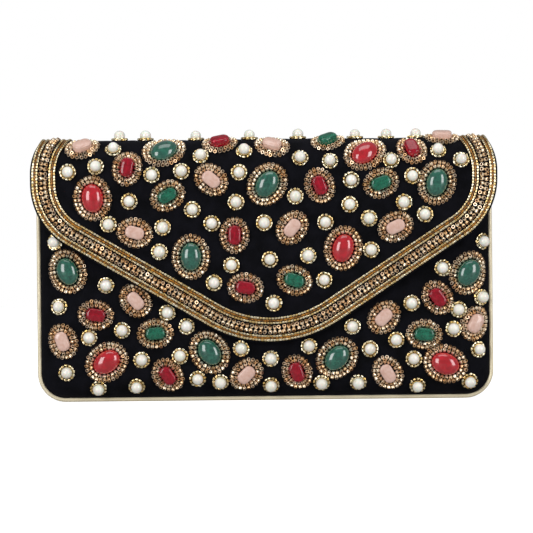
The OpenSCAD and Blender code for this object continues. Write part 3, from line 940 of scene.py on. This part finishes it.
# %% Stone rings
def oval(wide, long, count, shift=0.0):
    """Evenly spaced places on an oval, with outward directions, as x along the long side."""
    steps = np.linspace(0, 2 * math.pi, 721)
    xs, ys = long / 2 * np.cos(steps), wide / 2 * np.sin(steps)
    run = np.concatenate([[0], np.cumsum(np.hypot(np.diff(xs), np.diff(ys)))])
    wanted = ((np.arange(count) + shift) / count % 1) * run[-1]
    a = np.interp(wanted, run, steps)
    out = np.stack([np.cos(a) / long, np.sin(a) / wide], 1)
    out /= np.linalg.norm(out, axis=1)[:, None]
    return [(long / 2 * math.cos(t), wide / 2 * math.sin(t), o[0], o[1]) for t, o in zip(a, out)]


CABOCHON = {"wide": 12.4 * MM, "long": 16.5 * MM, "inner": 22, "outer": 28}
DRILLED = {"wide": 7.6 * MM, "long": 11.4 * MM, "inner": 16, "outer": 22}
ROW_GAPS = {"inner": 1.5 * MM, "outer": 3.75 * MM}
TIGHTEST_GAP, PEARL_REACH, BEAD_ROOM = 3.0 * MM, 5.9 * MM, 2.0 * MM
field_line = [spot for spot, _, _ in along_path(border_path(ROW_INSETS["field"]), 1.5 * MM)]


def room_for(spot, part, others):
    """Whether a bead at a spot clears the pearls, the border and the other stones' rings."""
    if any((spot - p[0]).length < PEARL_REACH for p in pearls[part]):
        return False
    if part == "flap" and any((spot - f).length < BEAD_ROOM for f in field_line):
        return False
    return all((spot - o).length > BEAD_ROOM for o in others)


def stone_rings(name, part, places, stone, taken):
    """The double row of topaz seed beads round each stone; `taken` holds other rings' beads."""
    chance = random.Random(name)
    matrices = []
    for middle, along, up in places:
        side, own = up.cross(along), []
        for row, height in (("inner", 1.2), ("outer", 1.0)):
            turn = chance.uniform(0, 1)
            spots = oval(stone["wide"] + 2 * ROW_GAPS[row], stone["long"] + 2 * ROW_GAPS[row],
                         stone[row], turn)
            for x, y, out_x, out_y in spots:
                out = (along * out_x + side * out_y).normalized()
                spot = middle + along * x + side * y
                back = 0.0
                while row == "outer" and back < ROW_GAPS[row] - TIGHTEST_GAP:
                    if room_for(spot - out * back, part, taken):
                        break
                    back += 0.25 * MM
                spot -= out * back
                where, normal = seated(beds[part], spot, height * MM)
                lean = chance.uniform(0.35, 1.5)
                axis = out + normal * lean + normal.cross(out) * chance.uniform(-0.35, 0.35)
                matrices.append(place_at(where, normal.cross(out), axis,
                                         chance.uniform(0.94, 1.06)))
                own.append(where)
        taken += own
    return copies(name, [(topaz_bead, matrices)], [topaz_glass])


beds = {"body": body_bed, "flap": flap_bed}
ring_pieces = {}
for part in ("body", "flap"):
    taken = []
    for kind, stone in (("cabochon", CABOCHON), ("bead", DRILLED)):
        ring_pieces[part, kind] = stone_rings(f"{part}_{kind}_seed_rings", part, rings[part, kind],
                                              stone, taken)

# %% [markdown]
# ## Cabochons
# A cabochon is an oval dome on a low straight girdle. It starts as a sphere, loses its lower half,
# is stretched to the oval, and its cut edge is drawn down into the girdle and closed.

# %% Cabochon model
DOME_HIGH, GIRDLE_HIGH = 4.3 * MM, 0.9 * MM
bpy.ops.object.select_all(action="DESELECT")
bpy.ops.mesh.primitive_uv_sphere_add(segments=40, ring_count=24, radius=1)
gem = bpy.context.object
edit_all()
bpy.ops.mesh.bisect(plane_co=(0, 0, 0.02), plane_no=(0, 0, 1), clear_inner=True)
bpy.ops.mesh.select_all(action="SELECT")
bpy.ops.transform.resize(value=(CABOCHON["long"] / 2, CABOCHON["wide"] / 2, DOME_HIGH),
                         center_override=(0, 0, 0))
bpy.ops.object.mode_set(mode="OBJECT")
rim_z = min(v.co.z for v in gem.data.vertices)
rim_corners = [v for v in gem.data.vertices if v.co.z < rim_z + 0.01 * MM]
rim_numbers = {v.index for v in rim_corners}
rim_edges = [e for e in gem.data.edges if rim_numbers.issuperset(e.vertices)]
edit_only(gem.data, "VERT", rim_corners + rim_edges)
bpy.ops.mesh.extrude_edges_move(TRANSFORM_OT_translate={"value": (0, 0, -GIRDLE_HIGH)})
bpy.ops.transform.resize(value=(0.97, 0.97, 1), center_override=(0, 0, 0))
bpy.ops.mesh.edge_face_add()
bpy.ops.mesh.select_all(action="SELECT")
bpy.ops.transform.translate(value=(0, 0, 0.85 * MM))
bpy.ops.mesh.normals_make_consistent(inside=False)
bpy.ops.object.mode_set(mode="OBJECT")
cabochon = take(gem)
print("cabochon", np.round((cabochon[0].max(0) - cabochon[0].min(0)) / MM, 2), "mm")

# %% [markdown]
# ## Drilled beads
# A drilled bead is a tablet with round corners, a nearly flat top and a bore along its length. It
# starts as a box: its upright edges are bevelled far, its rims a little, and the top is inset and
# raised to crown it. A thin cylinder is cut out of it, and the bore's faces are silvered.

# %% Drilled bead model
BORE_R, TABLET = 0.6 * MM, (11.2 * MM, 7.2 * MM, 4.7 * MM)
CORNER_BEVEL, RIM_BEVEL = 3.3 * MM, 1.3 * MM
bpy.ops.object.select_all(action="DESELECT")
bpy.ops.mesh.primitive_cube_add(size=1)
gem = bpy.context.object
edit_all()
bpy.ops.transform.resize(value=TABLET, center_override=(0, 0, 0))
bpy.ops.object.mode_set(mode="OBJECT")
places = [v.co for v in gem.data.vertices]
upright = [e for e in gem.data.edges
           if abs(places[e.vertices[0]].z - places[e.vertices[1]].z) > 1 * MM]
edit_only(gem.data, "EDGE", upright)
bpy.ops.mesh.bevel(offset=CORNER_BEVEL, offset_type="OFFSET", segments=6, affect="EDGES")
bpy.ops.object.mode_set(mode="OBJECT")
select_only(gem)
rim = gem.modifiers.new("rim", "BEVEL")
rim.width, rim.segments = RIM_BEVEL, 4
rim.limit_method, rim.angle_limit = "ANGLE", math.radians(60)
bpy.ops.object.modifier_apply(modifier=rim.name)
edit_only(gem.data, "FACE", [p for p in gem.data.polygons if p.normal.z > 0.999])
bpy.ops.mesh.inset(thickness=0.8 * MM)
bpy.ops.transform.translate(value=(0, 0, 0.2 * MM))
bpy.ops.mesh.select_all(action="SELECT")
bpy.ops.transform.translate(value=(0, 0, TABLET[2] / 2))
bpy.ops.mesh.normals_make_consistent(inside=False)
bpy.ops.object.mode_set(mode="OBJECT")
bpy.ops.mesh.primitive_cylinder_add(vertices=12, radius=BORE_R, depth=2 * TABLET[0],
                                    location=(0, 0, TABLET[2] / 2), rotation=(0, math.pi / 2, 0))
drill = bpy.context.object
select_only(gem)
cut = gem.modifiers.new("bore", "BOOLEAN")
cut.operation, cut.object, cut.solver = "DIFFERENCE", drill, "EXACT"
bpy.ops.object.modifier_apply(modifier=cut.name)
bpy.data.objects.remove(drill)
bpy.context.tool_settings.mesh_select_mode = (True, False, False)
for p in gem.data.polygons:
    gap = max(math.hypot(gem.data.vertices[i].co.y, gem.data.vertices[i].co.z - TABLET[2] / 2)
              for i in p.vertices)
    p.material_index = 1 if gap < BORE_R * 1.05 else 0
drilled_bead = take(gem)
print("drilled bead", np.round((drilled_bead[0].max(0) - drilled_bead[0].min(0)) / MM, 2), "mm,",
      len(drilled_bead[1]), "faces,", sum(drilled_bead[2]), "of the bore")

# %% Set the stones in their rings
def nearest(places, shell):
    """The ring that a stone's shell lies in."""
    middle = Vector(shell.mean(0))
    return min(places, key=lambda r: (r[0] - middle).length)


def set_stones(name, node, part, kind, model, materials, lift):
    """Copies a stone into each ring that the node's stones lie in."""
    chance = random.Random(name)
    matrices = []
    for shell in shells(node):
        middle, along, up = nearest(rings[part, kind], shell)
        where, _ = seated(beds[part], middle, lift)
        tip = up + along * chance.uniform(-0.03, 0.03)
        tip += up.cross(along) * chance.uniform(-0.03, 0.03)
        matrices.append(place_at(where, along, tip, chance.uniform(0.98, 1.02)))
    return copies(name, [(model, matrices)], materials)


stone_pieces = []
for part in ("body", "flap"):
    for colour, resin, clear in (("red", red_resin, red_clear), ("green", green_resin, green_clear),
                                 ("pink", None, pink_cloudy)):
        if resin:
            node = f"{part}_{colour}_cabochons"
            gems = set_stones(f"{part}_{colour}_cabochon_gems", node, part, "cabochon", cabochon,
                              [resin], 0.1 * MM)
            stone_pieces.append((gems, part, node, f"{colour}_cabochon"))
        node = f"{part}_{colour}_beads"
        gems = set_stones(f"{part}_{colour}_drilled_beads", node, part, "bead", drilled_bead,
                          [clear, bore_lining], 0.1 * MM)
        stone_pieces.append((gems, part, node, f"{colour}_bead"))

# %% [markdown]
# ## Pearls
# A glass pearl is almost a ball. It sits in a thin gold wire, and a ring of gold seed beads lies
# round that. The ball is flattened a little where it is glued down, and the ring's beads point
# round the pearl, as beads on a thread do.

# %% Pearl and wire models
bpy.ops.object.select_all(action="DESELECT")
bpy.ops.mesh.primitive_uv_sphere_add(segments=24, ring_count=16, radius=3.1 * MM)
ball = bpy.context.object
edit_all()
bpy.ops.transform.resize(value=(1.0, 1.0, 0.97))
bpy.ops.mesh.bisect(plane_co=(0, 0, -2.6 * MM), plane_no=(0, 0, 1), clear_inner=True,
                    use_fill=True)
bpy.ops.mesh.select_all(action="SELECT")
bpy.ops.transform.translate(value=(0, 0, 2.9 * MM))
bpy.ops.mesh.normals_make_consistent(inside=False)
bpy.ops.object.mode_set(mode="OBJECT")
pearl = take(ball)
bpy.ops.object.select_all(action="DESELECT")
bpy.ops.mesh.primitive_torus_add(major_segments=28, minor_segments=6, major_radius=3.2 * MM,
                                 minor_radius=0.3 * MM)
wire = bpy.context.object
edit_all()
bpy.ops.transform.translate(value=(0, 0, 1.55 * MM))
bpy.ops.object.mode_set(mode="OBJECT")
pearl_wire = take(wire)
print("pearl", np.round((pearl[0].max(0) - pearl[0].min(0)) / MM, 2), "mm")

# %% Sew on the pearls
PEARL_BEADS, PEARL_RING_MM = 13, 4.15


def sew_pearls(part):
    """The pearls of a part, and their gold wires and bead rings."""
    chance = random.Random(part + "pearls")
    balls, wires, beads = [], [], []
    for middle, along, up in pearls[part]:
        where, _ = seated(beds[part], middle, 0.0)
        size = chance.uniform(0.96, 1.04)
        balls.append(place_at(where, along, up, size))
        wires.append(place_at(where, along, up, size))
        side, turn = up.cross(along), chance.uniform(0, 1)
        for k in range(PEARL_BEADS):
            a = 2 * math.pi * (k + turn) / PEARL_BEADS
            out = along * math.cos(a) + side * math.sin(a)
            spot = middle + out * (PEARL_RING_MM + chance.uniform(-0.12, 0.12)) * MM
            seat, normal = seated(beds[part], spot, 0.75 * MM)
            ahead = normal.cross(out) + normal * chance.uniform(-0.25, 0.25)
            ahead += out * chance.uniform(-0.25, 0.25)
            beads.append(place_at(seat, out, ahead, chance.uniform(0.95, 1.08)))
    return (copies(f"{part}_pearl_balls", [(pearl, balls)], [nacre]),
            copies(f"{part}_pearl_settings", [(pearl_wire, wires), (pearl_bead, beads)],
                   [gold_glass]))


pearl_pieces = {part: sew_pearls(part) for part in ("body", "flap")}

# %% [markdown]
# ## What moves with what
# Every piece but the two crease strips rides on the box or on the flap, and stands for the nodes it
# replaces, which are hidden. The crease strips are left where they are made.

# %% Ride and replace
def settle(piece, body, slot, *nodes):
    """Rides a piece on a body, in place of some nodes; its material slot's name, `slot`, is not
    used.
    """
    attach(piece, body)
    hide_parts(*nodes)


settle(front_cover, "body", "velvet", "front_velvet")
settle(back_cover, "body", "velvet", "back_velvet")
settle(gusset_cover, "body", "velvet", "left_gusset", "right_gusset", "base_gusset")
settle(front_pouch, "body", "lining", "front_lining")
settle(back_pouch, "body", "lining", "back_lining")
settle(gusset_pouch, "body", "lining", "gusset_lining")
settle(slip_pocket, "body", "lining", "slip_pocket")
settle(flap_cover, "flap", "velvet", "flap_velvet")
settle(flap_inside, "flap", "lining", "flap_lining")
settle(edge_beads, "flap", "gold_beads", "border_edge_row")
settle(outer_beads, "flap", "gold_beads", "border_outer_row")
settle(inner_beads, "flap", "gold_beads", "border_inner_row")
settle(field_beads, "flap", "gold_beads", "border_field_row")
settle(ladder_beads, "flap", "topaz_beads", "border_ladder")
settle(outer_cord, "flap", "amber_thread", "border_outer_thread")
settle(inner_cord, "flap", "amber_thread", "border_inner_thread")
for (part, kind), piece in ring_pieces.items():
    settle(piece, part, "topaz_beads", f"{part}_{kind}_rings")
for piece, part, node, slot in stone_pieces:
    settle(piece, part, slot, node)
for part, (balls, settings) in pearl_pieces.items():
    settle(balls, part, "pearl", f"{part}_pearls")
    settle(settings, part, "gold_beads", f"{part}_pearl_rings")
for piece, slot in ((crease_velvet, "velvet"), (crease_lining, "lining")):
    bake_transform(piece)
print("pieces settled")

# %% Finishes of the nodes that stay
KEPT = {"front_board": card, "back_board": card, "gusset_board": card, "flap_board": card,
        "gusset_wadding": wadding, "front_piping": piping_cloth, "back_piping": piping_cloth,
        "snap_socket": brass, "snap_socket_washer": brass, "snap_stud": brass,
        "snap_stud_plate": brass}
for node, material in KEPT.items():
    own = frame["nodes"][node]
    own.data.materials.clear()
    own.data.materials.append(material)
print("kept nodes", len(KEPT))

# %% [markdown]
# ## Studio
# A pale table and a white room, with a tall soft box on each side: they put the long highlights
# on the stones. Table and room glow white where the camera sees them and are dimmer as light, so
# the velvet stays black.

# %% Floor, room and lights
bpy.ops.object.select_all(action="DESELECT")
bpy.ops.mesh.primitive_circle_add(vertices=96, radius=4, fill_type="NGON", location=(0, 0, 0))
floor = bpy.context.object
floor.name = "floor"
floor_paint, tree, shader, place = finish_of("white_table", "#A4A4A4", roughness=0.6)
mottle(tree, shader, grain(tree, shader, place, 3 * MM, 0.02 * MM), "#9C9C9C", "#A8A8A8")
shader.inputs["Emission Color"].default_value = (1, 1, 1, 1)
eye = add(tree, "ShaderNodeLightPath").outputs["Is Camera Ray"]
glow = add(tree, "ShaderNodeMapRange", {"To Min": 0.1, "To Max": 1.0}, {"Value": eye})
tree.links.new(glow.outputs[0], shader.inputs["Emission Strength"])
floor.data.materials.append(floor_paint)

world = bpy.data.worlds.new("white_room")
bpy.context.scene.world = world
world.use_nodes = True
tree = world.node_tree
tree.nodes.clear()
seen = add(tree, "ShaderNodeBackground", {"Color": (1, 1, 1, 1), "Strength": 1.0})
light = add(tree, "ShaderNodeBackground", {"Color": (0.96, 0.98, 1, 1), "Strength": 0.36})
path = add(tree, "ShaderNodeLightPath")
mixed = add(tree, "ShaderNodeMixShader", None,
            {0: path.outputs["Is Camera Ray"], 1: light.outputs[0], 2: seen.outputs[0]})
add(tree, "ShaderNodeOutputWorld", None, {"Surface": mixed.outputs[0]})


def soft_box(name, where, size, power, aim=(0, 0, 0.075)):
    """A rectangular studio light that looks at the purse."""
    data = bpy.data.lights.new(name, "AREA")
    data.shape, data.size, data.size_y, data.energy = "RECTANGLE", size[0], size[1], power
    lamp = bpy.data.objects.new(name, data)
    bpy.context.scene.collection.objects.link(lamp)
    lamp.location = where
    lamp.rotation_euler = (Vector(aim) - Vector(where)).to_track_quat("-Z", "Y").to_euler()


soft_box("left_soft_box", (-0.75, -0.9, 0.25), (0.5, 1.1), 10)
soft_box("right_soft_box", (0.85, -0.8, 0.25), (0.4, 1.1), 8)
soft_box("top_soft_box", (0, -0.3, 1.3), (1.0, 0.6), 4)
bpy.context.scene.view_settings.view_transform = "Standard"
